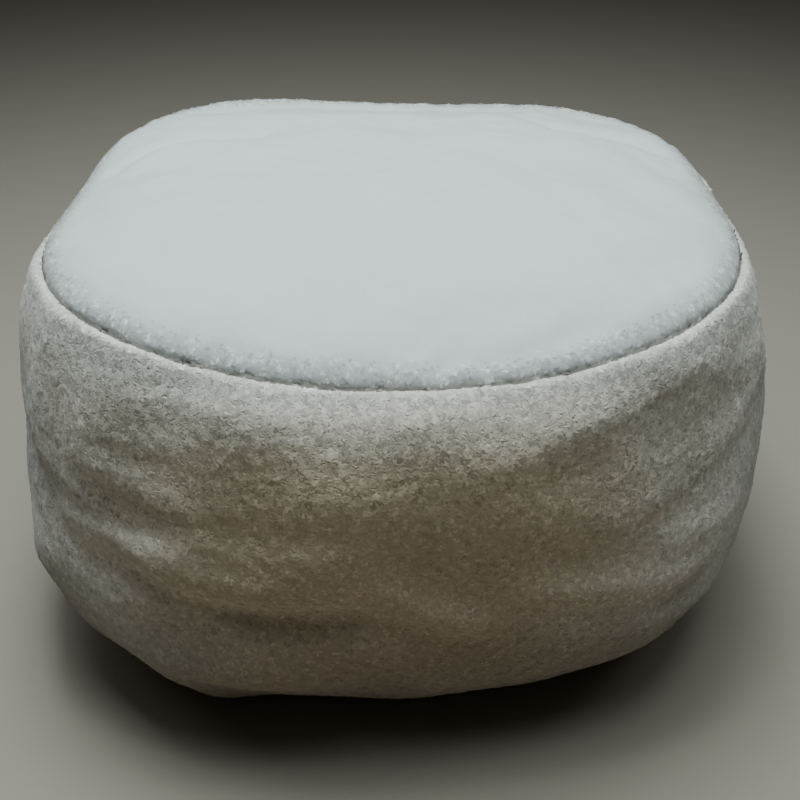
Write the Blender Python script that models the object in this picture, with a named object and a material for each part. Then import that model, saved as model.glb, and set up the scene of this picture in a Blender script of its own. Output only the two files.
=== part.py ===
"""Bean bag footstool: a crowned top panel, a filled side band and a flat base panel.

Metres, +Z up, front towards -Y, with the origin on the floor under the middle.
Directions run anticlockwise from +X, as seen from above.
"""

import math
from collections import namedtuple

import bmesh
import bpy
from mathutils import Vector

# Driving dimensions
CLOTH = 0.0025  # thickness of the looped cloth with its pile
GAP = 0.0004  # clear space between sewn pieces

TOP_WIDTH, TOP_DEPTH, TOP_ROUNDNESS = 0.484, 0.480, 2.5  # the top panel, from seam to seam
BELLY_WIDTH, BELLY_DEPTH, BELLY_ROUNDNESS = 0.550, 0.542, 2.7  # the band at its widest
BASE_WIDTH, BASE_DEPTH, BASE_ROUNDNESS = 0.410, 0.390, 3.0  # the base panel, from seam to seam

SEAM_HEIGHT = 0.300  # the top seam, on average
SEAM_SLOPE = 0.023  # how much the seam climbs towards the back, per metre
BELLY_HEIGHT = 0.123
CROWN = 0.027  # the top panel's middle above the seam
CROWN_FLATNESS = 3.0  # more keeps the crown flat further out
CROWN_TURN = 0.6  # less turns the crown's edge down more steeply into the seam

# The band's upright curve. A pull is the length of the curve's handle at that place.
PINCH_ANGLE, PINCH_PULL = math.radians(28), 0.018  # it rises out of the top seam,
SHOULDER_PULL = 0.072  # rolls over down to the belly,
HIP_PULL = 0.058  # is drawn in below it,
TUCK_ANGLE, TUCK_PULL = math.radians(45), 0.054  # and slants in to the base seam
GROOVE_DEPTH = 0.0012  # the seam's groove, below the top panel's edge

# One corner of the base is pinched outwards, at the front left.
CORNER_DIRECTION = math.radians(240)
CORNER_REACH = 0.019
CORNER_SPREAD = math.radians(7)
CORNER_ROUNDNESS = 1.5

# The sides are drawn in and the corners stand out and up, each a little differently.
# Eight even directions, in degrees, and millimetres out or up.
Side = namedtuple("Side", "direction seam_out seam_up belly_out belly_up base_out")
SIDES = [
    Side(0, -3, -4, 0, 6, 3),
    Side(45, 1, 3, 0, 0, 0),
    Side(90, -1, -5, 0, 0, 0),
    Side(135, 1, 8, 0, 0, 0),
    Side(180, -8, -3, -1, -12, 0),
    Side(225, 2, 8, 2, -6, 0),
    Side(270, 3, -8, 0, 0, 4),
    Side(315, 0, 3, -4, 5, -2),
]

# The band's main folds. Each runs straight from a start to an end, which are directions in
# degrees and heights in millimetres, and pushes the band out, or in where it is negative.
Fold = namedtuple("Fold", "start start_height end end_height half_width push")
FOLDS = [
    Fold(229, 204, 246, 212, 11, -6),
    Fold(232, 190, 250, 191, 12, 4),
    Fold(215, 207, 226, 163, 10, -7),
    Fold(226, 163, 243, 160, 10, -5),
    Fold(217, 168, 224, 122, 14, 4),
    Fold(250, 172, 268, 180, 12, 4),
    Fold(246, 143, 270, 153, 13, -6),
    Fold(245, 104, 268, 112, 15, 4),
    Fold(290, 262, 326, 272, 15, -5),
    Fold(303, 192, 326, 214, 11, -6),
    Fold(306, 166, 332, 160, 16, 4),
    Fold(297, 123, 326, 138, 11, -6),
    Fold(20, 140, 44, 126, 13, -5),
    Fold(30, 205, 52, 190, 13, -5),
    Fold(70, 176, 104, 184, 16, -5),
    Fold(120, 150, 146, 168, 12, -6),
    Fold(128, 212, 150, 205, 14, -4),
    Fold(172, 196, 192, 182, 14, -5),
]
FOLD_FULL = 0.6  # the share of a fold's length with its full push
FOLD_FADE = 1.5  # more ends a fold more quickly
SEAM_ROWS = 2  # folds die away over these mesh rows beside a seam

COLUMNS = 96  # mesh columns round the footstool
SHOULDER_ROWS, HIP_ROWS = 11, 9
CROWN_RINGS = [0.25, 0.5, 0.7, 0.84, 0.93, 0.98, 1.0]  # shares of the way from middle to seam
BASE_RINGS = [0.5, 1.0]
DIRECTIONS = [2 * math.pi * column / COLUMNS for column in range(COLUMNS)]

IVORY = (0.62, 0.60, 0.55)
PILE_ROUGHNESS = 0.95


def squircle(width, depth, roundness, direction):
    """How far a rounded square reaches in a direction: 2 is an ellipse, and more is squarer."""
    across = abs(2 * math.cos(direction) / width) ** roundness
    along = abs(2 * math.sin(direction) / depth) ** roundness
    return (across + along) ** (-1 / roundness)


def uneven(column, direction):
    """The smooth closed wave through one column of SIDES, in metres."""
    total = 0.0
    for side in SIDES:
        turn = direction - math.radians(side.direction)
        weight = 1.0
        if abs(math.sin(turn / 2)) > 1e-9:
            weight = math.sin(len(SIDES) * turn / 2) / (len(SIDES) * math.tan(turn / 2))
        total += getattr(side, column) * weight
    return total / 1000


def seam(direction):
    """Reach and height of the top seam."""
    reach = squircle(TOP_WIDTH, TOP_DEPTH, TOP_ROUNDNESS, direction)
    reach += uneven("seam_out", direction)
    climb = SEAM_SLOPE * reach * math.sin(direction)
    return reach, SEAM_HEIGHT + climb + uneven("seam_up", direction)


def belly(direction):
    """Reach and height of the band at its widest."""
    reach = squircle(BELLY_WIDTH, BELLY_DEPTH, BELLY_ROUNDNESS, direction)
    height = BELLY_HEIGHT + uneven("belly_up", direction)
    return reach + uneven("belly_out", direction), height


def base_reach(direction):
    """Reach of the base seam, with its one pinched corner."""
    turn = abs(math.remainder(direction - CORNER_DIRECTION, 2 * math.pi))
    corner = CORNER_REACH * math.exp(-((turn / CORNER_SPREAD) ** CORNER_ROUNDNESS))
    reach = squircle(BASE_WIDTH, BASE_DEPTH, BASE_ROUNDNESS, direction)
    return reach + uneven("base_out", direction) + corner


def place(reach, height, direction):
    return Vector((reach * math.cos(direction), reach * math.sin(direction), height))


def bezier(points, share):
    """A point on a cubic curve of (reach, height) points."""
    rest = 1 - share
    weights = (rest**3, 3 * rest**2 * share, 3 * rest * share**2, share**3)
    reach = sum(weight * point[0] for weight, point in zip(weights, points))
    height = sum(weight * point[1] for weight, point in zip(weights, points))
    return reach, height


def shoulder_curve(direction):
    """From the top seam, over the roll, down to the belly."""
    reach, height = seam(direction)
    wide, level = belly(direction)
    start = (reach + 2 * GAP, height)
    rise = (start[0] + PINCH_PULL * math.cos(PINCH_ANGLE), height + PINCH_PULL * math.sin(PINCH_ANGLE))
    return start, rise, (wide, level + SHOULDER_PULL), (wide, level)


def hip_curve(direction):
    """From the belly, drawn in, down to the base seam."""
    wide, level = belly(direction)
    reach = base_reach(direction)
    tuck = (reach + TUCK_PULL * math.cos(TUCK_ANGLE), TUCK_PULL * math.sin(TUCK_ANGLE))
    return (wide, level), (wide, level - HIP_PULL), tuck, (reach, CLOTH + GAP)


def curve_rings(curve, rows):
    """Level rings down a curve, one for each share of its length in rows."""
    return [[place(*bezier(curve(d), row), d) for d in DIRECTIONS] for row in rows]


def outward(rings, row, column):
    """The surface's normal at a point of a set of rings, taken from its neighbours."""
    along = rings[row][(column + 1) % COLUMNS] - rings[row][column - 1]
    before = rings[max(row - 1, 0)][column]
    after = rings[min(row + 1, len(rings) - 1)][column]
    return (after - before).cross(along).normalized()


def moved_out(rings, distance):
    """The rings moved along their normals by distance(row, column)."""
    return [
        [point + distance(row, column) * outward(rings, row, column) for column, point in enumerate(ring)]
        for row, ring in enumerate(rings)
    ]


def fold_push(fold, direction, height):
    """How far one fold pushes the band at a direction and height, in metres."""
    half_run = math.radians(fold.end - fold.start) * BELLY_WIDTH / 4
    half_rise = (fold.end_height - fold.start_height) / 2000
    half_length = math.hypot(half_run, half_rise)
    middle = math.radians((fold.start + fold.end) / 2)
    run = math.remainder(direction - middle, 2 * math.pi) * BELLY_WIDTH / 2
    rise = height - (fold.start_height + fold.end_height) / 2000
    along = abs(run * half_run + rise * half_rise) / half_length
    across = (rise * half_run - run * half_rise) / half_length * 1000 / fold.half_width
    past = max(0.0, along - FOLD_FULL * half_length)
    past /= (1 - FOLD_FULL) * half_length + fold.half_width / 1000
    return fold.push / 1000 * math.exp(-(across**2) - (FOLD_FADE * past) ** 2)


def crown_rings():
    """The top panel's outer face, from the middle out to the seam."""
    seams = [seam(direction) for direction in DIRECTIONS]
    middle = sum(height for _, height in seams) / COLUMNS
    rings = []
    for share in CROWN_RINGS:
        rise = CROWN * (1 - share**CROWN_FLATNESS) ** CROWN_TURN
        heights = [middle + (height - middle) * share**2 + rise for _, height in seams]
        reaches = [reach * share for reach, _ in seams]
        rings.append([place(*point) for point in zip(reaches, heights, DIRECTIONS)])
    return rings


def groove_rings():
    """The bottom of the top seam's groove, just clear of the top panel's edge."""
    rings = crown_rings()
    under_panel = moved_out(rings, lambda row, column: -(CLOTH + GAP))
    inner = [point - Vector((0, 0, GROOVE_DEPTH - GAP)) for point in under_panel[-1]]
    outer = [point - Vector((0, 0, GROOVE_DEPTH)) for point in rings[-1]]
    return [inner, outer]


def band_rings():
    """The band's outer face with its folds, from the top seam down to the base seam."""
    shoulder = [row / SHOULDER_ROWS for row in range(SHOULDER_ROWS + 1)]
    hip = [row / HIP_ROWS for row in range(1, HIP_ROWS + 1)]
    rings = curve_rings(shoulder_curve, shoulder) + curve_rings(hip_curve, hip)

    def push(row, column):
        from_seam = min(row, len(rings) - 1 - row)
        height = rings[row][column].z
        pushes = [fold_push(fold, DIRECTIONS[column], height) for fold in FOLDS]
        return min(1.0, from_seam / SEAM_ROWS) * sum(pushes)

    return moved_out(rings, push)


def flat_rings(height):
    """Level rings from the middle out to the base seam."""
    return [[place(base_reach(d) * share, height, d) for d in DIRECTIONS] for share in BASE_RINGS]


def close_with_fan(work, ring):
    """Fill a ring of points with triangles round its middle."""
    middle = work.verts.new(sum((point.co for point in ring), Vector()) / COLUMNS)
    for column in range(COLUMNS):
        work.faces.new((middle, ring[column - 1], ring[column]))


def skin(name, rings, closed):
    """An object with faces between rings. The first ring is filled, and the last one if closed."""
    work = bmesh.new()
    rows = [[work.verts.new(point) for point in ring] for ring in rings]
    for upper, lower in zip(rows, rows[1:]):
        for column in range(COLUMNS):
            work.faces.new((upper[column - 1], lower[column - 1], lower[column], upper[column]))
    close_with_fan(work, rows[0])
    if closed:
        close_with_fan(work, rows[-1])
    bmesh.ops.recalc_face_normals(work, faces=work.faces)
    if not closed and sum(face.normal.z for face in work.faces) < 0:
        bmesh.ops.reverse_faces(work, faces=work.faces)
    mesh = bpy.data.meshes.new(name)
    work.to_mesh(mesh)
    work.free()
    mesh.shade_smooth()
    piece = bpy.data.objects.new(name, mesh)
    bpy.context.collection.objects.link(piece)
    return piece


def thicken(sheet):
    """Give a sheet the cloth's thickness, behind its outer face."""
    solidify = sheet.modifiers.new("cloth", "SOLIDIFY")
    solidify.thickness = CLOTH
    solidify.offset = -1


def looped_cloth(name):
    """Ivory looped cloth with a dull pile."""
    material = bpy.data.materials.new(name)
    material.use_nodes = True
    shader = material.node_tree.nodes["Principled BSDF"]
    shader.inputs["Base Color"].default_value = (*IVORY, 1)
    shader.inputs["Roughness"].default_value = PILE_ROUGHNESS
    shader.inputs["Metallic"].default_value = 0.0
    return material


def make_top_panel():
    panel = skin("top_panel", crown_rings(), closed=False)
    thicken(panel)
    return panel


def make_side_band():
    """The filled body: its crown under the top panel, the groove, the band and the underside."""
    crown = moved_out(crown_rings(), lambda row, column: -(CLOTH + GAP))
    underside = flat_rings(CLOTH + GAP)[:-1]
    return skin("side_band", crown + groove_rings() + band_rings() + underside[::-1], closed=True)


def make_base_panel():
    panel = skin("base_panel", flat_rings(CLOTH), closed=False)
    thicken(panel)
    return panel


for old in list(bpy.data.objects):
    bpy.data.objects.remove(old)

for make in (make_top_panel, make_side_band, make_base_panel):
    piece = make()
    piece.data.materials.append(looped_cloth(piece.name))
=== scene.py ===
"""Looks of the bean bag footstool: its filled side band, top panel and base panel in looped cloth.

Metres, +Z up, front towards -Y. Directions run anticlockwise from +X, as seen from above.
"""

import math
from collections import namedtuple

import bmesh
import bpy
import numpy as np
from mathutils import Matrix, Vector


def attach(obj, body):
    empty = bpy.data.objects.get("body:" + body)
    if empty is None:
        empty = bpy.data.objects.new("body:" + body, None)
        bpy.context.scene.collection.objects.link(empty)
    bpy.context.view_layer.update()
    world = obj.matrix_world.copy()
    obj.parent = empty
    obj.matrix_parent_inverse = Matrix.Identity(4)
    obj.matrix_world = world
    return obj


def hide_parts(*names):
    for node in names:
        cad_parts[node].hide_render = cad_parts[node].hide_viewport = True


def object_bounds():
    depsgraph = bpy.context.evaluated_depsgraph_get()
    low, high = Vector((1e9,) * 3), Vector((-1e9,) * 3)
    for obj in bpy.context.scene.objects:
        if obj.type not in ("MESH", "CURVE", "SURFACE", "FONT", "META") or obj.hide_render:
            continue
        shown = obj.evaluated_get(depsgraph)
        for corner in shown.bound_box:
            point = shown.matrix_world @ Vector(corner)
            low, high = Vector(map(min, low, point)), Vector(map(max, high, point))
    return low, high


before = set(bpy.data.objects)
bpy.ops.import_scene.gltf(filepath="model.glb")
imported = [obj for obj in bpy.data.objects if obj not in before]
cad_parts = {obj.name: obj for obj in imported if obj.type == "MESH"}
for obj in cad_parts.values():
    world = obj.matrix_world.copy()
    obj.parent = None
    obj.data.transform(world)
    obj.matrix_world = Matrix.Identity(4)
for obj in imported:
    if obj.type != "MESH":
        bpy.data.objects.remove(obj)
cad_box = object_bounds()

LOW, HIGH = cad_box
HEIGHT = HIGH.z - LOW.z
MEAN_REACH = (HIGH.x - LOW.x + HIGH.y - LOW.y) / 4
CLOTH = 0.0025  # thickness of the panels' cloth
COLUMNS = 96  # the CAD nodes' columns, one every 3.75 degrees
DOUBLES = 0.00002  # points of a CAD node nearer than this are one point
MILLIMETRES = 1000  # in a metre

# The filling, blown into the band's cover. It is held up to the first distance from its seams
# and free past the second.
VOXEL = 0.006
START_INSIDE = 0.0010  # the cover starts this much inside its finished form
HELD = (0.004, 0.012)
PRESSURE = 4.0
SETTLE_FRAMES = 20
SWELL_CAP = 0.0018  # no point of the cover moves further than this

# The part of the band under the panels, which needs few triangles
HIDDEN = 0.012  # the band doesn't show further inside a seam than this
UNDERSIDE = 0.006  # nor under the base panel, below this height
HIDDEN_RATIO = 0.06  # share of the hidden triangles that stays

# The top panel's crown. Its share runs from 0 at the middle to 1 at the seam.
CROWN_FLATNESS, CROWN_TURN = 3.0, 0.6
SIDE_FULLNESS = 0.12  # how much sooner the panel rises at its two sides
AT_SIDES = (0.75, 0.95)  # cosines of the directions where that starts and is full
BACK_SLACK = 0.34  # how much later it rises at its back
AT_BACK = (0.35, 0.8)  # sines of the directions where that starts and is full
SAG_START, FOLDS_START = (1.0, 0.86), (1.0, 0.96)  # shares where each starts and is full

# The top seam
SEAM_DEPTH, SEAM_HALF_WIDTH = 0.0013, 0.0035  # the pinch that the stitching pulls into both pieces
TOP_PINCH = 0.6  # the top panel takes this share of the pinch
GAP = 0.0004  # between the two layers at a seam
CLEAR = 0.003  # the band's hidden crown stays this much further under the top panel
CLEAR_START = (0.001, 0.012)  # distances inside the seam where that starts and is full

# The band stands up beside the seam. Towards the back, between those sines of the direction,
# more than the whole rise is taken away, so there the band dips.
EDGE_OUT, EDGE_HALF_WIDTH, EDGE_RISE = 0.005, 0.0045, 0.0024
BACK_EDGE_FALL, BACK_EDGE = 1.6, (0.0, 0.4)

# In front the band lies no lower than a lip, which climbs beside the seam and then falls away.
# Towards the back the whole lip falls, between those sines of the direction.
LIP_RISE, LIP_FALL = 0.0018, 0.012
LIP_TOP, LIP_END = 0.004, 0.010  # distances outside the seam
BACK_LIP_FALL, BACK_LIP = 0.006, (-0.5, 0.0)

# Folds. A path in the band runs through (direction in degrees, height in millimetres),
# and a path on the top through (x, y) in millimetres. Half width and push are in millimetres,
# and a push is outwards, or inwards where it is negative.
Fold = namedtuple("Fold", "path half_width push")
FOLD_END = 0.2  # share of its push that a fold keeps at its ends
BAND_FREE, FOOT_FREE = (0.0, 0.010), (0.003, 0.015)  # the seams hold the folds back up to here
FULL_FRONT = Fold([(227, 228), (250, 226), (290, 222), (316, 216)], 36, 7)
SMALL_FOLDS = [
    Fold([(250, 248), (262, 236), (275, 238), (288, 246)], 24, 3.5),
    Fold([(276, 244), (288, 252), (300, 258)], 14, 2.8),
    Fold([(250, 206), (262, 200), (278, 206)], 20, 2),
    Fold([(232, 238), (240, 236), (248, 232)], 14, -3),
    Fold([(246, 266), (264, 264), (284, 264), (297, 268)], 17, 5),  # the front roll
    Fold([(236, 276), (248, 278), (264, 276), (286, 276)], 9, 2),
    Fold([(288, 268), (296, 266), (304, 264)], 13, 3.5),
    Fold([(312, 268), (322, 264), (330, 258)], 10, 3),
    Fold([(301, 246), (312, 240), (321, 248)], 18, -5),  # the hollow under the right roll
    Fold([(294, 220), (302, 221), (312, 215)], 17, -3.5),
    Fold([(326, 281), (316, 279), (304, 279)], 8, 1),
    Fold([(294, 274), (306, 273), (318, 272)], 13, 2),
    Fold([(322, 246), (332, 238)], 12, 3),
    Fold([(322, 212), (330, 202), (340, 195)], 18, 3),
    Fold([(336, 284), (352, 291), (368, 291)], 10, -7),
    Fold([(150, 298), (172, 296), (186, 294), (199, 292)], 10, -6),
    Fold([(202, 202), (209, 197), (217, 190)], 19, -4.5),  # the hollow at the left
    Fold([(206, 232), (216, 228), (224, 226)], 14, -1.5),
    Fold([(199, 186), (207, 172), (213, 158)], 14, -3.5),
    Fold([(222, 191), (230, 190), (238, 192), (245, 198)], 9, -4),
    Fold([(210, 168), (222, 162)], 10, -1.8),
    Fold([(246, 200), (254, 187)], 9, 2),
    Fold([(228, 164), (238, 162)], 9, 2.5),
    Fold([(236, 174), (246, 170), (256, 168), (266, 169), (273, 166)], 15, 5.5),  # the left belly
    Fold([(244, 144), (254, 143), (264, 145)], 12, -1.3),
    Fold([(267, 164), (272, 154), (278, 141), (285, 132)], 12, 5),
    Fold([(252, 190), (270, 194)], 12, 2.2),
    Fold([(232, 94), (242, 90), (252, 86), (262, 94)], 15, 5.5),
    Fold([(284, 158), (298, 152), (310, 146)], 14, 4),  # the right belly
    Fold([(299, 128), (307, 137), (315, 150)], 12, 5),
    Fold([(300, 122), (314, 127), (326, 136)], 12, 2.6),
    Fold([(301, 192), (306, 197), (312, 205), (323, 208)], 9, -1.5),
    Fold([(208, 158), (216, 152), (224, 148)], 14, -4.5),
    Fold([(196, 290), (206, 286)], 12, -2),
    Fold([(214, 116), (222, 114)], 14, 3),
    Fold([(324, 165), (334, 158)], 12, -3),
    Fold([(302, 108), (311, 106), (320, 98)], 12, 3.5),
    Fold([(236, 24), (244, 22)], 12, 3),
]
TOP_FOLDS = [
    Fold([(-214, 12), (-178, 58), (-148, 66), (-90, 70)], 6, -4.2),
    Fold([(-167, 10), (-117, -3), (-56, -20)], 10, -1.2),
    Fold([(105, 130), (132, 90), (179, 78), (218, 52)], 6, -3.2),
    Fold([(20, -231), (75, -222), (120, -203)], 8, -3.5),  # the edge turned down at the front
    Fold([(40, 222), (110, 203), (165, 162), (205, 105)], 26, -3.5),
    Fold([(-50, 222), (-110, 207), (-165, 165)], 26, -3.5),
]
Sag = namedtuple("Sag", "place spread depth")
BACK_SAG = Sag(place=(-0.04, 0.205), spread=(0.21, 0.06), depth=0.009)  # slack behind the middle

# Unevenness of the filled cloth
Ripple = namedtuple("Ripple", "height wavelength seed")
BAND_RIPPLES = [Ripple(0.0007, 0.075, 11), Ripple(0.00015, 0.010, 12)]
TOP_RIPPLES = [Ripple(0.0008, 0.06, 22), Ripple(0.00022, 0.02, 23)]
TOP_RIPPLES_START = (0.0, 0.03)  # distances inside the seam where they start and are full
PUCKER = Ripple(0.0005, 0.017, 21)  # gathered by the seam's stitches
PUCKER_WIDTH, PUCKER_START = 0.022, (0.0, 0.004)

# Loops of the pile
Loops = namedtuple("Loops", "spacing length rise thickness")
PILE = Loops(spacing=0.0029, length=0.0044, rise=0.0003, thickness=0.0024)
FLATNESS = 0.17  # a loop's thickness off the cloth, as a share of its thickness along it
SUNK, SUNK_PRESSED = 0.03, 0.3  # shares of a loop's thickness that are sunk in the cloth
SIDES = 3  # corners round a loop's middle
POINTS_A_LOOP = SIDES + 2
TRIANGLES_A_PIECE = 190000
TRIES_A_CELL = 6  # places tried in each cell, of which one is kept
CELLS_ACROSS = 1000  # more than any piece has
SEED = 5

# Where loops stand: outside the top seam and above the floor, and inside the seam on the top panel
BAND_LOOPS_OUT, BAND_LOOPS_UP = 0.0005, 0.004
TOP_LOOPS_IN, TOP_FACE = 0.026, 0.75  # TOP_FACE is a share of the cloth's thickness
PRESSED_RISE = (-0.025, -0.008)  # from pressed flat to standing up, outwards from the seam

# Tufts, which are clumps of loops with a like height, lean and tone
TUFT = 0.0072
TUFT_SEED, LEAN_SEEDS = 31, (32, 33, 34)
TUFT_LIMITS = (-1.4, 1.8)
LEAN = 0.022  # how far a raised loop turns up to the light
STRAY_LEAN = 0.5  # how far it turns any other way, as a share of that
OWN_SHADE = 0.10  # how far a loop's shading follows its own roundness, not the cloth under it

# A loop's tone, from its own, its tuft's and the painted shade of its place, which a raised tuft escapes
OWN_TONE, TUFT_TONE, PAINTED_SHADE_TONE, TUFT_ESCAPE = 0.4, 0.6, 1.6, 0.3
TONE_LIMIT = 2
# painted shade in the top's edge that is turned down to the seam, and its width
SEAM_SHADE, SEAM_SHADE_WIDTH = 0.62, 0.012
# Painted shade in the low hollows and painted light on the low ridges, for each millimetre of their depth
# or height
PAINTED_FOLD_SHADE, PAINTED_FOLD_SHADE_DEPTH = 0.065, 6
PAINTED_FOLD_SHADE_RAISE = 0.010  # the painted shade and light lie this much above a fold's own line
PAINTED_FOLD_SHADE_TOP = (0.25, 0.20)  # heights where it starts and is full

# Colours of the cloth, light and dark
IVORY = (0.85, 0.805, 0.73)
IVORY_SHADE = (0.50, 0.455, 0.385)
CHALK = (0.73, 0.75, 0.73)
CHALK_SHADE = (0.63, 0.645, 0.625)
EDGE = (0.71, 0.715, 0.68)
EDGE_SHADE = (0.62, 0.615, 0.575)
ROUGHNESS, SMOOTHER = 0.98, 0.12  # of the dark cloth, and how much less rough the light cloth is
Mottle = namedtuple("Mottle", "tufts fibres patches")  # how strongly each shows in the shade

# Painted shade: the cover's colour darkens towards the floor, brown in front and grey at its sides.
# Heights are in metres, and the tints multiply the cloth's colour.
Tint = namedtuple("Tint", "height front side")
PAINTED_SHADE_TINTS = [
    Tint(0.0, (0.40, 0.35, 0.28), (0.38, 0.38, 0.38)),
    Tint(0.06, (0.42, 0.365, 0.295), (0.42, 0.42, 0.41)),
    Tint(0.10, (0.53, 0.465, 0.375), (0.57, 0.57, 0.56)),
    Tint(0.14, (0.78, 0.69, 0.56), (0.90, 0.90, 0.89)),
    Tint(0.165, (0.85, 0.735, 0.58), (0.93, 0.93, 0.92)),
    Tint(0.215, (0.89, 0.785, 0.61), (0.90, 0.90, 0.88)),
    Tint(0.232, (0.92, 0.815, 0.645), (0.88, 0.88, 0.86)),
    Tint(0.245, (0.94, 0.85, 0.685), (0.86, 0.86, 0.83)),
    Tint(0.262, (0.965, 0.9, 0.775), (0.90, 0.89, 0.87)),
    Tint(0.276, (0.985, 0.955, 0.89), (0.96, 0.96, 0.95)),
    Tint(0.29, (1.0, 1.0, 1.0), (1.0, 1.0, 1.0)),
]
SIDE_START, SIDE_END = 0.07, 0.235  # how far out along X the front tint fades into the side tint
RIM_START, RIM_END, RIM_SHADE = 0.215, 0.26, 0.62  # painted shade: the cover is darker still at its far sides


# Camera, floor and light


def aim(thing, target):
    thing.rotation_euler = (Vector(target) - thing.location).to_track_quat("-Z", "Y").to_euler()


def make_camera():
    lens = bpy.data.cameras.new("camera")
    lens.lens = 45
    lens.sensor_width = 36
    lens.clip_start = 0.05
    camera = bpy.data.objects.new("camera", lens)
    bpy.context.scene.collection.objects.link(camera)
    elevation = math.radians(32.7)
    distance = 0.83
    target = Vector((0.0059, 0.0, 0.38 * HEIGHT))
    camera.location = target + distance * Vector((0, -math.cos(elevation), math.sin(elevation)))
    aim(camera, target)
    bpy.context.scene.camera = camera


def area_light(name, place, size, power, colour):
    lamp = bpy.data.lights.new(name, "AREA")
    lamp.shape = "RECTANGLE"
    lamp.size, lamp.size_y = size
    lamp.energy = power
    lamp.color = colour
    light = bpy.data.objects.new(name, lamp)
    bpy.context.scene.collection.objects.link(light)
    light.location = place
    aim(light, (0, 0, HEIGHT / 2))


def make_light():
    from_above, from_aside = (0.84, 0.96, 1.0), (0.84, 0.95, 1.0)
    area_light("ceiling softbox", place=(-0.05, -0.06, 1.5), size=(1.3, 0.9), power=17, colour=from_above)
    area_light("ceiling lamp", place=(-0.1, -0.02, 1.5), size=(0.5, 0.4), power=11, colour=from_above)
    area_light("left lamp", place=(-0.9, -0.25, 1.4), size=(0.4, 0.4), power=0.8, colour=from_aside)
    area_light("right lamp", place=(0.9, -0.25, 1.4), size=(0.4, 0.4), power=1.5, colour=from_aside)
    world = bpy.data.worlds.new("studio")
    world.use_nodes = True
    shade = world.node_tree.nodes["Background"]
    shade.inputs["Color"].default_value = (1.0, 0.97, 0.92, 1)
    shade.inputs["Strength"].default_value = 0.02
    bpy.context.scene.world = world


def make_floor():
    bpy.ops.object.select_all(action="DESELECT")
    bpy.ops.mesh.primitive_plane_add(size=16, location=(0, 0, LOW.z))
    floor = bpy.context.active_object
    floor.name = "floor"
    material = bpy.data.materials.new("pale floor")
    material.use_nodes = True
    shader = material.node_tree.nodes["Principled BSDF"]
    shader.inputs["Base Color"].default_value = (0.385, 0.335, 0.27, 1)
    shader.inputs["Roughness"].default_value = 0.85
    floor.data.materials.append(material)


# Meshes as arrays


def points_of(mesh):
    found = np.empty(len(mesh.vertices) * 3, np.float32)
    mesh.vertices.foreach_get("co", found)
    return found.reshape(-1, 3).astype(float)


def normals_of(mesh):
    found = np.empty(len(mesh.vertices) * 3, np.float32)
    mesh.vertex_normals.foreach_get("vector", found)
    return found.reshape(-1, 3).astype(float)


def move_points(mesh, places):
    mesh.vertices.foreach_set("co", places.astype(np.float32).ravel())
    mesh.update()


def direction_of(places):
    return np.arctan2(places[:, 1], places[:, 0])


def reach_of(places):
    return np.hypot(places[:, 0], places[:, 1])


def ramp(values, start, end):
    """0 before start, 1 after end, and smooth between them."""
    share = np.clip((values - start) / (end - start), 0, 1)
    return share * share * (3 - 2 * share)


def ripple(places, wavelength, seed, waves=48, spread=(0.7, 1.4)):
    """Smooth random unevenness of about that wavelength, with a spread of 1."""
    rng = np.random.default_rng(seed)
    headings = rng.normal(size=(waves, 3))
    headings /= np.linalg.norm(headings, axis=1, keepdims=True)
    pitches = 2 * math.pi / wavelength * rng.uniform(*spread, waves)
    starts = rng.uniform(0, 2 * math.pi, waves)
    total = np.zeros(len(places))
    for heading, pitch, start in zip(headings, pitches, starts):
        total += np.cos(places @ heading * pitch + start)
    return total / math.sqrt(waves / 2)


# Mesh tools


def choose(piece):
    bpy.ops.object.select_all(action="DESELECT")
    piece.select_set(True)
    bpy.context.view_layer.objects.active = piece


def apply_modifier(piece, name, kind, **settings):
    choose(piece)
    modifier = piece.modifiers.new(name, kind)
    for setting, value in settings.items():
        setattr(modifier, setting, value)
    bpy.ops.object.modifier_apply(modifier=modifier.name)


def new_piece(name, mesh):
    piece = bpy.data.objects.new(name, mesh)
    bpy.context.scene.collection.objects.link(piece)
    return piece


def copy_of(node, name):
    """A copy of a CAD node with its doubles merged."""
    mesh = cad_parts[node].data.copy()
    mesh.name = name
    mesh.materials.clear()
    for layer in list(mesh.uv_layers):
        mesh.uv_layers.remove(layer)
    piece = new_piece(name, mesh)
    choose(piece)
    if mesh.has_custom_normals:
        bpy.ops.mesh.customdata_custom_splitnormals_clear()
    work = bmesh.new()
    work.from_mesh(mesh)
    bmesh.ops.remove_doubles(work, verts=work.verts, dist=DOUBLES)
    work.to_mesh(mesh)
    work.free()
    return piece


def finish_piece(piece, node, material):
    piece.data.shade_smooth()
    piece.data.materials.append(material)
    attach(piece, "root")
    if node:
        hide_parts(node)


# Folds


def unrolled(places, path):
    """Places and a path on the unrolled band, from directions and heights."""
    middle = math.radians(sum(direction for direction, _ in path) / len(path))
    turns = np.mod(direction_of(places) - middle + math.pi, 2 * math.pi) - math.pi
    spots = np.stack([turns * MEAN_REACH, places[:, 2]], 1)
    line = [((math.radians(direction) - middle) * MEAN_REACH, up / MILLIMETRES) for direction, up in path]
    return spots, np.array(line)


def seen_from_above(places, path):
    return places[:, :2], np.array(path) / MILLIMETRES


def beside_line(spots, line):
    """Distance to a bent line, and the share of the line's length at its foot."""
    lengths = np.linalg.norm(np.diff(line, axis=0), axis=1)
    starts = np.concatenate([[0], np.cumsum(lengths)])
    nearest = np.full(len(spots), np.inf)
    share = np.zeros(len(spots))
    for index, length in enumerate(lengths):
        run = (line[index + 1] - line[index]) / length
        along = np.clip((spots - line[index]) @ run, 0, length)
        apart = np.linalg.norm(spots - line[index] - along[:, None] * run, axis=1)
        closer = apart < nearest
        nearest = np.where(closer, apart, nearest)
        share = np.where(closer, (starts[index] + along) / starts[-1], share)
    return nearest, share


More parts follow.
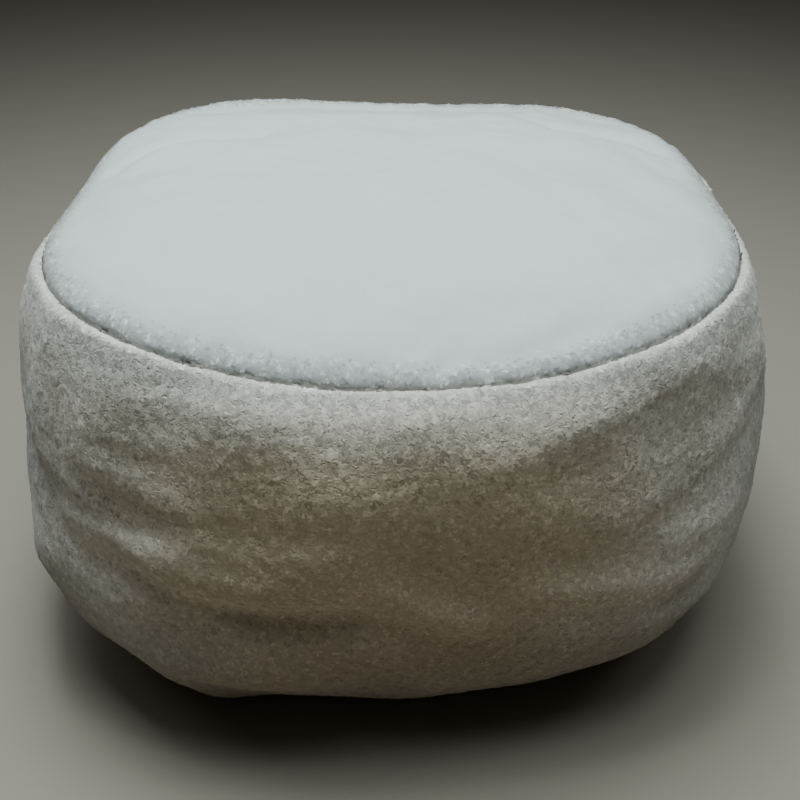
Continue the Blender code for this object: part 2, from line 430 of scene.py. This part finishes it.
def fold_push(places, folds, laid):
    """How far the folds push each place outwards, in metres."""
    total = np.zeros(len(places))
    for fold in folds:
        apart, share = beside_line(*laid(places, fold.path))
        taper = np.sqrt(np.clip(np.sin(math.pi * share), 0, 1)) * (1 - FOLD_END) + FOLD_END
        profile = np.exp(-((apart * MILLIMETRES / fold.half_width) ** 2))
        total += fold.push / MILLIMETRES * taper * profile
    return total


# The seams, from the frame


def rim_of(node):
    """Reach and height of a panel's edge in every direction, as two functions."""
    places = points_of(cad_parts[node].data)
    steps = np.round(direction_of(places) / (2 * math.pi) * COLUMNS).astype(int) % COLUMNS
    reaches = reach_of(places)
    columns = [np.flatnonzero(steps == step) for step in range(COLUMNS)]
    edge = [column[np.lexsort((places[column, 2], reaches[column].round(5)))[-1]] for column in columns]
    edge.append(edge[0])
    turns = np.arange(COLUMNS + 1) * 2 * math.pi / COLUMNS

    def reach(directions):
        return np.interp(np.mod(directions, 2 * math.pi), turns, reaches[edge])

    def height(directions):
        return np.interp(np.mod(directions, 2 * math.pi), turns, places[edge, 2])

    return reach, height


seam_reach, seam_height = rim_of("top_panel")
base_reach, _ = rim_of("base_panel")
SEAM_MIDDLE = float(np.mean(seam_height(np.arange(COLUMNS) * 2 * math.pi / COLUMNS)))
CROWN = HIGH.z - SEAM_MIDDLE


def crown_height(places):
    """Height of the top panel's outer face over any place inside its seam."""
    directions = direction_of(places)
    share = np.clip(reach_of(places) / seam_reach(directions), 0, 1)
    turn = CROWN_TURN - SIDE_FULLNESS * ramp(np.abs(np.cos(directions)), *AT_SIDES)
    turn += BACK_SLACK * ramp(np.sin(directions), *AT_BACK)
    rise = CROWN * (1 - share**CROWN_FLATNESS) ** turn
    away = (places[:, :2] - BACK_SAG.place) / BACK_SAG.spread
    slack = -BACK_SAG.depth * np.exp(-(away**2).sum(1)) * ramp(share, *SAG_START)
    slack += fold_push(places, TOP_FOLDS, seen_from_above) * ramp(share, *FOLDS_START)
    return SEAM_MIDDLE + (seam_height(directions) - SEAM_MIDDLE) * share**2 + rise + slack


def seam_pinch(places):
    """How far the stitching pulls a place down."""
    return SEAM_DEPTH * np.exp(-((past_seam(places) / SEAM_HALF_WIDTH) ** 2))


def past_seam(places):
    """How far a place lies outside the top seam, in metres, on the upper half of the footstool."""
    outside = reach_of(places) - seam_reach(direction_of(places))
    return np.where(places[:, 2] > HEIGHT / 2, outside, MEAN_REACH)


# The side band


def fill_band(band):
    """Blow the cover up from a slightly smaller form, held at its seams, and cap how far it swells."""
    choose(band)
    band.data.remesh_voxel_size = VOXEL
    bpy.ops.object.voxel_remesh()
    form = points_of(band.data)
    free = ramp(past_seam(form), *HELD) * ramp(form[:, 2], *HELD)
    start = form - START_INSIDE * free[:, None] * normals_of(band.data)
    move_points(band.data, start)
    seams = band.vertex_groups.new(name="seams")
    seams.add(np.flatnonzero(free < 0.5).tolist(), 1.0, "REPLACE")
    cloth = band.modifiers.new("filling", "CLOTH")
    cloth.settings.quality = 5
    cloth.settings.mass = 0.1
    cloth.settings.use_pressure = True
    cloth.settings.uniform_pressure_force = PRESSURE
    cloth.settings.effector_weights.gravity = 0
    cloth.settings.vertex_group_mass = "seams"
    cloth.point_cache.frame_start = 1
    cloth.point_cache.frame_end = SETTLE_FRAMES
    scene = bpy.context.scene
    for step in range(1, SETTLE_FRAMES + 1):
        scene.frame_set(step)
    settled = points_of(band.evaluated_get(bpy.context.evaluated_depsgraph_get()).data)
    band.modifiers.remove(cloth)
    band.vertex_groups.clear()
    scene.frame_set(1)
    moved = settled - start
    length = np.linalg.norm(moved, axis=1, keepdims=True)
    moved *= np.minimum(1, SWELL_CAP / np.maximum(length, 1e-9))
    move_points(band.data, start + moved)


def thin_hidden(band):
    """Leave few triangles under the panels, where nothing shows."""
    places = points_of(band.data)
    inside_base = reach_of(places) < base_reach(direction_of(places)) - HIDDEN
    hidden = (past_seam(places) < -HIDDEN) | (inside_base & (places[:, 2] < UNDERSIDE))
    choose(band)
    bpy.ops.object.mode_set(mode="EDIT")
    bpy.ops.mesh.select_mode(type="FACE")
    bpy.ops.mesh.select_all(action="DESELECT")
    bpy.ops.object.mode_set(mode="OBJECT")
    faces = [all(hidden[corner] for corner in face.vertices) for face in band.data.polygons]
    band.data.polygons.foreach_set("select", faces)
    bpy.ops.object.mode_set(mode="EDIT")
    bpy.ops.mesh.decimate(ratio=HIDDEN_RATIO)
    bpy.ops.object.mode_set(mode="OBJECT")


def raise_edge(places, beside):
    """Stand the band's edge up beside the top seam, and in front keep it up to a lip."""
    directions = direction_of(places)
    behind = np.sin(directions)
    rise = EDGE_RISE * (1 - BACK_EDGE_FALL * ramp(behind, *BACK_EDGE))
    places[:, 2] += rise * np.exp(-(((beside - EDGE_OUT) / EDGE_HALF_WIDTH) ** 2)) * (beside > 0)
    lip = seam_height(directions) - SEAM_DEPTH - BACK_LIP_FALL * ramp(behind, *BACK_LIP)
    lip += LIP_RISE * ramp(beside, 0, LIP_TOP) - LIP_FALL * ramp(beside, LIP_TOP, LIP_END)
    near = (beside > 0) & (beside < LIP_END)
    places[:, 2] = np.where(near, np.maximum(places[:, 2], lip), places[:, 2])


def make_side_band(material):
    band = copy_of("side_band", "side_band_cover")
    fill_band(band)
    apply_modifier(band, "rounder", "SUBSURF", levels=1, render_levels=1)
    places, outward = points_of(band.data), normals_of(band.data)
    free = ramp(past_seam(places), *BAND_FREE) * ramp(places[:, 2], *FOOT_FREE)
    push = fold_push(places, [FULL_FRONT] + SMALL_FOLDS, unrolled)
    for wave in BAND_RIPPLES:
        push += wave.height * ripple(places, wave.wavelength, wave.seed)
    places += (push * free)[:, None] * outward
    beside = past_seam(places)
    places[:, 2] -= seam_pinch(places)
    raise_edge(places, beside)
    limit = crown_height(places) - CLOTH - GAP - CLEAR * ramp(-beside, *CLEAR_START)
    places[:, 2] = np.where(beside < 0, np.minimum(places[:, 2], limit), places[:, 2])
    move_points(band.data, places)
    thin_hidden(band)
    finish_piece(band, "side_band", material)
    return band


# The panels


def panel_grid(name, cells, reach, height):
    """A round-cornered sheet with even cells, laid from its middle out to its seam."""
    bpy.ops.object.select_all(action="DESELECT")
    bpy.ops.mesh.primitive_grid_add(x_subdivisions=cells, y_subdivisions=cells, size=2)
    panel = bpy.context.active_object
    panel.name = name
    panel.data.name = name
    places = points_of(panel.data)
    directions = direction_of(places)
    square = 1 / np.maximum(np.abs(np.cos(directions)), np.abs(np.sin(directions)))
    share = reach_of(places) / square
    places[:, 0] = share * reach(directions) * np.cos(directions)
    places[:, 1] = share * reach(directions) * np.sin(directions)
    places[:, 2] = height(places)
    move_points(panel.data, places)
    return panel


def make_top_panel(material):
    panel = panel_grid("top_panel_cloth", cells=140, reach=seam_reach, height=crown_height)
    places = points_of(panel.data)
    level = places * (1, 1, 0)
    beside = past_seam(places)
    places[:, 2] -= TOP_PINCH * seam_pinch(places)
    near_seam = np.exp(-((beside / PUCKER_WIDTH) ** 2)) * ramp(-beside, *PUCKER_START)
    places[:, 2] += PUCKER.height * ripple(level, PUCKER.wavelength, PUCKER.seed) * near_seam
    inner = ramp(-beside, *TOP_RIPPLES_START)
    for wave in TOP_RIPPLES:
        places[:, 2] += wave.height * ripple(level, wave.wavelength, wave.seed) * inner
    move_points(panel.data, places)
    apply_modifier(panel, "cloth", "SOLIDIFY", thickness=CLOTH, offset=-1)
    shade = panel.data.attributes.new("seam_shade", "FLOAT", "POINT")
    shade.data.foreach_set("value", seam_painted_shade(points_of(panel.data)).astype(np.float32))
    finish_piece(panel, "top_panel", material)
    return panel


def make_base_panel(material):
    def level(places):
        return np.full(len(places), CLOTH)

    panel = panel_grid("base_panel_cloth", cells=40, reach=base_reach, height=level)
    apply_modifier(panel, "cloth", "SOLIDIFY", thickness=CLOTH, offset=-1)
    finish_piece(panel, "base_panel", material)


# The loops


def even_points(mesh, spacing, allowed, rng):
    """Places and normals spread about evenly at random over the allowed faces of a mesh."""
    mesh.calc_loop_triangles()
    corners = np.empty(len(mesh.loop_triangles) * 3, np.int32)
    mesh.loop_triangles.foreach_get("vertices", corners)
    corners = corners.reshape(-1, 3)
    places, normals = points_of(mesh), normals_of(mesh)
    corners = corners[allowed(places[corners].mean(1))]
    a, b, c = (places[corners[:, k]] for k in range(3))
    area = np.linalg.norm(np.cross(b - a, c - a), axis=1)
    tries = int(area.sum() / 2 / spacing**2 * TRIES_A_CELL)
    chosen = corners[rng.choice(len(area), tries, p=area / area.sum())]
    weights = rng.dirichlet((1, 1, 1), tries)[:, :, None]
    spots = (places[chosen] * weights).sum(1)
    facing = (normals[chosen] * weights).sum(1)
    facing /= np.linalg.norm(facing, axis=1, keepdims=True)
    cells = np.floor(spots / spacing).astype(int)
    cells -= cells.min(0)
    _, kept = np.unique(cells @ (1, CELLS_ACROSS, CELLS_ACROSS**2), return_index=True)
    return spots[kept], facing[kept]


# A loop laid flat in its own cell of the piece's map: its first end, its middle, its last end
FLAT_LOOP = [(0.1, 0.5), (0.5, 0.1), (0.5, 0.5), (0.5, 0.9), (0.9, 0.5)]


def loop_faces():
    """Corners of one loop's triangles: its first end, the corners round its middle, its last end."""
    faces = []
    for side in range(1, SIDES + 1):
        after = side % SIDES + 1
        faces.append((0, after, side))
        faces.append((SIDES + 1, side, after))
    return np.array(faces)


def shape_loops(spots, facing, scale, tufts, own, along, rng):
    """Places and normals of the points of hooked loops, with both ends of each sunk at its spot."""
    count = len(spots)
    aside = np.cross(facing, along)
    lean = LEAN * (own + tufts)[:, None] * (0, 0, 1)
    lean += STRAY_LEAN * LEAN * np.stack([ripple(spots, TUFT, seed) for seed in LEAN_SEEDS], 1)

    def vary(size, low, high):
        return size * rng.uniform(low, high, count)[:, None]

    half = vary(PILE.length / 2, 0.7, 1.3)
    rise = vary(PILE.rise, 0.4, 1.6) * scale[:, None]
    hook = vary(PILE.length, -0.45, 0.45)
    radius = vary(PILE.thickness / 2, 0.8, 1.3)
    sunk = PILE.thickness * (SUNK + SUNK_PRESSED * (1 - scale[:, None]))

    def centre(share):
        bow = 1 - share * share
        return spots + along * half * share + aside * hook * bow + facing * (rise * bow - sunk)

    points = [centre(-1.0)]
    normals = [facing + lean]
    for side in range(SIDES):
        turn = math.pi / 2 + 2 * math.pi * side / SIDES
        outward = math.cos(turn) * aside + math.sin(turn) * facing
        off = math.cos(turn) * aside + FLATNESS * math.sin(turn) * facing
        points.append(centre(0.0) + radius * off)
        normals.append(facing * (1 - OWN_SHADE) + outward * OWN_SHADE + lean)
    points.append(centre(1.0))
    normals.append(facing + lean)
    return np.stack(points, 1), np.stack(normals, 1)


def triangle_mesh(name, points, faces):
    mesh = bpy.data.meshes.new(name)
    mesh.vertices.add(len(points))
    mesh.vertices.foreach_set("co", points.astype(np.float32).ravel())
    mesh.loops.add(faces.size)
    mesh.loops.foreach_set("vertex_index", faces.astype(np.int32).ravel())
    mesh.polygons.add(len(faces))
    mesh.polygons.foreach_set("loop_start", np.arange(0, faces.size, 3, dtype=np.int32))
    mesh.update(calc_edges=True)
    return mesh


def loop_mesh(name, spots, facing, scale, painted_shade, rng):
    """One mesh of loops, with each loop's tone and its own cell of the map."""
    count = len(spots)
    along = np.cross(facing, rng.normal(size=(count, 3)))
    along /= np.linalg.norm(along, axis=1, keepdims=True)
    own = rng.uniform(-0.5, 0.5, count)
    tufts = np.clip(ripple(spots, TUFT, TUFT_SEED), *TUFT_LIMITS)
    points, normals = shape_loops(spots, facing, scale, tufts, own, along, rng)
    starts = np.arange(count) * POINTS_A_LOOP
    faces = (loop_faces()[None] + starts[:, None, None]).reshape(-1, 3)
    mesh = triangle_mesh(name, points.reshape(-1, 3), faces)
    # the painted shade of a loop's place darkens its tone, or lightens it on a low ridge
    tones = OWN_TONE * own + TUFT_TONE * tufts - PAINTED_SHADE_TONE * painted_shade * (1 - TUFT_ESCAPE * tufts)
    tone = mesh.attributes.new("tone", "FLOAT", "POINT")
    tone.data.foreach_set("value", np.repeat(tones, POINTS_A_LOOP).astype(np.float32))
    cells = math.ceil(math.sqrt(count))
    corner = np.stack(np.divmod(np.arange(count), cells), 1)
    flat = (corner[:, None] + FLAT_LOOP).reshape(-1, 2) / cells
    bake_map = mesh.uv_layers.new(name="OFBake")
    bake_map.uv.foreach_set("vector", flat[faces.ravel()].astype(np.float32).ravel())
    mesh.shade_smooth()
    mesh.normals_split_custom_set_from_vertices(normals.reshape(-1, 3).tolist())
    return mesh


def make_loops(name, body, allowed, scale, painted_shade, material, rng):
    """Loops all over the allowed faces, in as many pieces as their triangles need."""
    spots, facing = even_points(body.data, PILE.spacing, allowed, rng)
    order = rng.permutation(len(spots))
    pieces = math.ceil(len(spots) * len(loop_faces()) / TRIANGLES_A_PIECE)
    for index in range(pieces):
        chosen = order[index::pieces]
        there, out = spots[chosen], facing[chosen]
        mesh = loop_mesh(f"{name}_{index + 1}", there, out, scale(there), painted_shade(there), rng)
        piece = new_piece(mesh.name, mesh)
        piece.visible_shadow = False
        finish_piece(piece, None, material)


def on_band(centres):
    return (past_seam(centres) > BAND_LOOPS_OUT) & (centres[:, 2] > BAND_LOOPS_UP)


def on_top_edge(centres):
    face = crown_height(centres) - seam_pinch(centres) - TOP_FACE * CLOTH
    return (past_seam(centres) > -TOP_LOOPS_IN) & (centres[:, 2] > face)


def full_rise(spots):
    return np.ones(len(spots))


def pressed_rise(spots):
    """Loops on the top are pressed flat, and stand up towards the seam."""
    return ramp(past_seam(spots), *PRESSED_RISE)


def hollow_painted_shade(spots):
    """Painted shade on the loops in the low hollows, and painted light on those on the low ridges."""
    relief = fold_push(spots - (0, 0, PAINTED_FOLD_SHADE_RAISE), SMALL_FOLDS, unrolled) * MILLIMETRES
    return -PAINTED_FOLD_SHADE * np.clip(relief, -PAINTED_FOLD_SHADE_DEPTH, PAINTED_FOLD_SHADE_DEPTH) * ramp(spots[:, 2], *PAINTED_FOLD_SHADE_TOP)


def seam_painted_shade(spots):
    """Painted shade of the turned down edge of the top, which is in its own shade."""
    return np.exp(-((past_seam(spots) / SEAM_SHADE_WIDTH) ** 2))


# Materials


def put(tree, value, socket):
    """Give a socket a number, or link an output to it."""
    if isinstance(value, (int, float)):
        socket.default_value = value
    else:
        tree.links.new(value, socket)


def maths(tree, operation, *values):
    node = tree.nodes.new("ShaderNodeMath")
    node.operation = operation
    for value, socket in zip(values, node.inputs):
        put(tree, value, socket)
    return node.outputs["Value"]


def mapped(tree, value, before, after=(0, 1)):
    """A value taken from one range to another, and held at its ends."""
    node = tree.nodes.new("ShaderNodeMapRange")
    for name, number in zip(("From Min", "From Max", "To Min", "To Max"), (*before, *after)):
        node.inputs[name].default_value = number
    tree.links.new(value, node.inputs["Value"])
    return node.outputs["Result"]


def mixed(tree, blend, factor, first, second):
    node = tree.nodes.new("ShaderNodeMix")
    node.data_type = "RGBA"
    node.blend_type = blend
    for name, value in (("Factor", factor), ("A", first), ("B", second)):
        put(tree, value, node.inputs[name])
    return node.outputs["Result"]


def scaled(tree, colour, strength):
    node = tree.nodes.new("ShaderNodeVectorMath")
    node.operation = "SCALE"
    tree.links.new(colour, node.inputs[0])
    tree.links.new(strength, node.inputs["Scale"])
    return node.outputs["Vector"]


def mottled(tree, start, name, scale, detail, distortion=0.0):
    """A noise about 0, times the group's amount of that name."""
    noise = tree.nodes.new("ShaderNodeTexNoise")
    noise.inputs["Scale"].default_value = scale
    noise.inputs["Detail"].default_value = detail
    noise.inputs["Distortion"].default_value = distortion
    tree.links.new(start.outputs["Vector"], noise.inputs["Vector"])
    about_zero = maths(tree, "SUBTRACT", noise.outputs["Fac"], 0.5)
    return maths(tree, "MULTIPLY", about_zero, start.outputs[name])


def tint_up(tree, height, colours):
    """The tints' colours blended from the floor up."""
    node = tree.nodes.new("ShaderNodeValToRGB")
    stops = node.color_ramp.elements
    while len(stops) < len(PAINTED_SHADE_TINTS):
        stops.new(0.5)
    for stop, tint, colour in zip(stops, PAINTED_SHADE_TINTS, colours):
        stop.position = tint.height / HEIGHT
        stop.color = (*colour, 1)
    tree.links.new(height, node.inputs["Fac"])
    return node.outputs["Color"]


def with_painted_shade(tree, place, colour):
    """A colour of the cloth with painted shade, darker by its place on the cover."""
    apart = tree.nodes.new("ShaderNodeSeparateXYZ")
    tree.links.new(place, apart.inputs["Vector"])
    height = maths(tree, "DIVIDE", apart.outputs["Z"], HEIGHT)
    sideways = maths(tree, "ABSOLUTE", apart.outputs["X"])
    front = tint_up(tree, height, [tint.front for tint in PAINTED_SHADE_TINTS])
    side = tint_up(tree, height, [tint.side for tint in PAINTED_SHADE_TINTS])
    tint = mixed(tree, "MIX", mapped(tree, sideways, (SIDE_START, SIDE_END)), front, side)
    toned = mixed(tree, "MULTIPLY", 1.0, colour, tint)
    # painted shade at the far sides
    return scaled(tree, toned, mapped(tree, sideways, (RIM_START, RIM_END), (1.0, RIM_SHADE)))


def pile_group():
    """Colour, roughness and height of looped cloth, from a place on it."""
    group = bpy.data.node_groups.new("looped pile", "ShaderNodeTree")
    sockets = (
        ("INPUT", "Vector", ["Vector"]),
        ("INPUT", "Color", ["Light", "Dark"]),
        ("INPUT", "Float", ["Tufts", "Fibres", "Patches"]),
        ("OUTPUT", "Color", ["Color"]),
        ("OUTPUT", "Float", ["Roughness", "Height"]),
    )
    for way, kind, names in sockets:
        for name in names:
            group.interface.new_socket(name, in_out=way, socket_type="NodeSocket" + kind)
    start = group.nodes.new("NodeGroupInput")
    end = group.nodes.new("NodeGroupOutput")
    tufts = mottled(group, start, "Tufts", scale=330, detail=1.5, distortion=0.8)
    fibres = mottled(group, start, "Fibres", scale=800, detail=2)
    patches = mottled(group, start, "Patches", scale=14, detail=2)
    relief = maths(group, "ADD", tufts, fibres)
    shade = maths(group, "ADD", maths(group, "ADD", relief, patches), 0.5)
    limit = group.nodes.new("ShaderNodeClamp")
    group.links.new(shade, limit.inputs["Value"])
    light = limit.outputs["Result"]
    colour = mixed(group, "MIX", light, start.outputs["Dark"], start.outputs["Light"])
    outputs = {
        # the cloth's colour carries painted shade, by height and by side
        "Color": with_painted_shade(group, start.outputs["Vector"], colour),
        "Roughness": maths(group, "MULTIPLY_ADD", light, -SMOOTHER, ROUGHNESS),
        "Height": relief,
    }
    for name, output in outputs.items():
        group.links.new(output, end.inputs[name])
    return group


def cloth_material(name, group, light, dark, mottle, depth=0.0):
    """A cloth between two shades, with bumps of that depth."""
    material = bpy.data.materials.new(name)
    material.use_nodes = True
    nodes, links = material.node_tree.nodes, material.node_tree.links
    shader = nodes["Principled BSDF"]
    shader.inputs["Specular IOR Level"].default_value = 0.25
    shader.inputs["Sheen Weight"].default_value = 0.25
    shader.inputs["Sheen Roughness"].default_value = 0.5
    shader.inputs["Sheen Tint"].default_value = (1.0, 0.98, 0.95, 1)
    place = nodes.new("ShaderNodeTexCoord")
    pile = nodes.new("ShaderNodeGroup")
    pile.name = "pile"
    pile.node_tree = group
    pile.inputs["Light"].default_value = (*light, 1)
    pile.inputs["Dark"].default_value = (*dark, 1)
    pile.inputs["Tufts"].default_value = mottle.tufts
    pile.inputs["Fibres"].default_value = mottle.fibres
    pile.inputs["Patches"].default_value = mottle.patches
    links.new(place.outputs["Object"], pile.inputs["Vector"])
    links.new(pile.outputs["Color"], shader.inputs["Base Color"])
    links.new(pile.outputs["Roughness"], shader.inputs["Roughness"])
    if depth:
        bump = nodes.new("ShaderNodeBump")
        bump.inputs["Distance"].default_value = depth
        links.new(pile.outputs["Height"], bump.inputs["Height"])
        links.new(bump.outputs["Normal"], shader.inputs["Normal"])
    return material


def scale_colour(material, attribute, before, after):
    """Scale a cloth's colour by one of its mesh's attributes, taken from one range to another."""
    tree = material.node_tree
    read = tree.nodes.new("ShaderNodeAttribute")
    read.attribute_name = attribute
    strength = mapped(tree, read.outputs["Fac"], before, after)
    colour = scaled(tree, tree.nodes["pile"].outputs["Color"], strength)
    tree.links.new(colour, tree.nodes["Principled BSDF"].inputs["Base Color"])


def pressed_material(group):
    """The top's cloth, with painted shade in the edge that is turned down to the seam."""
    mottle = Mottle(tufts=0.35, fibres=0.35, patches=0.3)
    material = cloth_material("pressed looped cloth", group, CHALK, CHALK_SHADE, mottle, 0.0003)
    scale_colour(material, "seam_shade", (0, 1), (1, SEAM_SHADE))
    return material


def loop_material(name, group, light, dark, contrast):
    """Loops that are lighter or darker by their tone, as strongly as the contrast."""
    mottle = Mottle(tufts=0.4, fibres=0.15, patches=0.5)
    material = cloth_material(name, group, light, dark, mottle)
    change = TONE_LIMIT * contrast
    scale_colour(material, "tone", (-TONE_LIMIT, TONE_LIMIT), (1 - change, 1 + change))
    return material


make_camera()
make_light()
make_floor()
pile = pile_group()
rng = np.random.default_rng(SEED)
plain = Mottle(tufts=1.0, fibres=0.4, patches=0.5)
cloth = cloth_material("looped cloth", pile, IVORY, IVORY_SHADE, plain, 0.0012)
pressed = pressed_material(pile)
band_pile = loop_material("standing loops", pile, IVORY, IVORY_SHADE, 0.29)
edge_pile = loop_material("pressed loops", pile, EDGE, EDGE_SHADE, 0.2)
band = make_side_band(cloth)
top = make_top_panel(pressed)
make_base_panel(cloth)
make_loops("band_loops", band, on_band, full_rise, hollow_painted_shade, band_pile, rng)
make_loops("top_loops", top, on_top_edge, pressed_rise, seam_painted_shade, edge_pile, rng)
